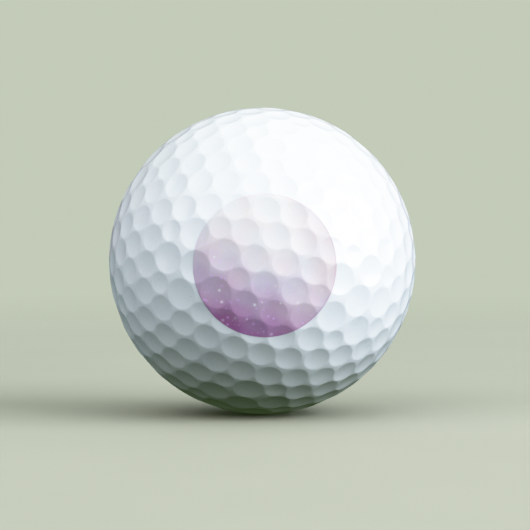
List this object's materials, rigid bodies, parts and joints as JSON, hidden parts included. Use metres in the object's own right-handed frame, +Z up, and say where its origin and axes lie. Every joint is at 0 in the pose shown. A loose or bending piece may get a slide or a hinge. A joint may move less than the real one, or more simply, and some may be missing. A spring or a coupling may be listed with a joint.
{
  "type": "golf ball",
  "caption": "White golf ball with a dimpled cover, a mantle and a layered rubber core inside, and a round pale violet print on its front.",
  "frame": {"origin": "centre of the ball", "axes": "+Z up, as the ball sits on its tee; -Y out through the middle of the print; +X to the right when the print faces the viewer"},
  "size_m": [0.0426, 0.0427, 0.0426],
  "materials": {
    "inner_core_rubber": "matte",
    "outer_core_rubber": "matte",
    "mantle_ionomer": "satin",
    "cover_white": "gloss",
    "print_ink": "satin"
  },
  "bodies": {
    "root": {"inner_core": "inner_core_rubber", "outer_core": "outer_core_rubber", "mantle": "mantle_ionomer", "cover": "cover_white", "print": "print_ink"}
  },
  "joints": []
}
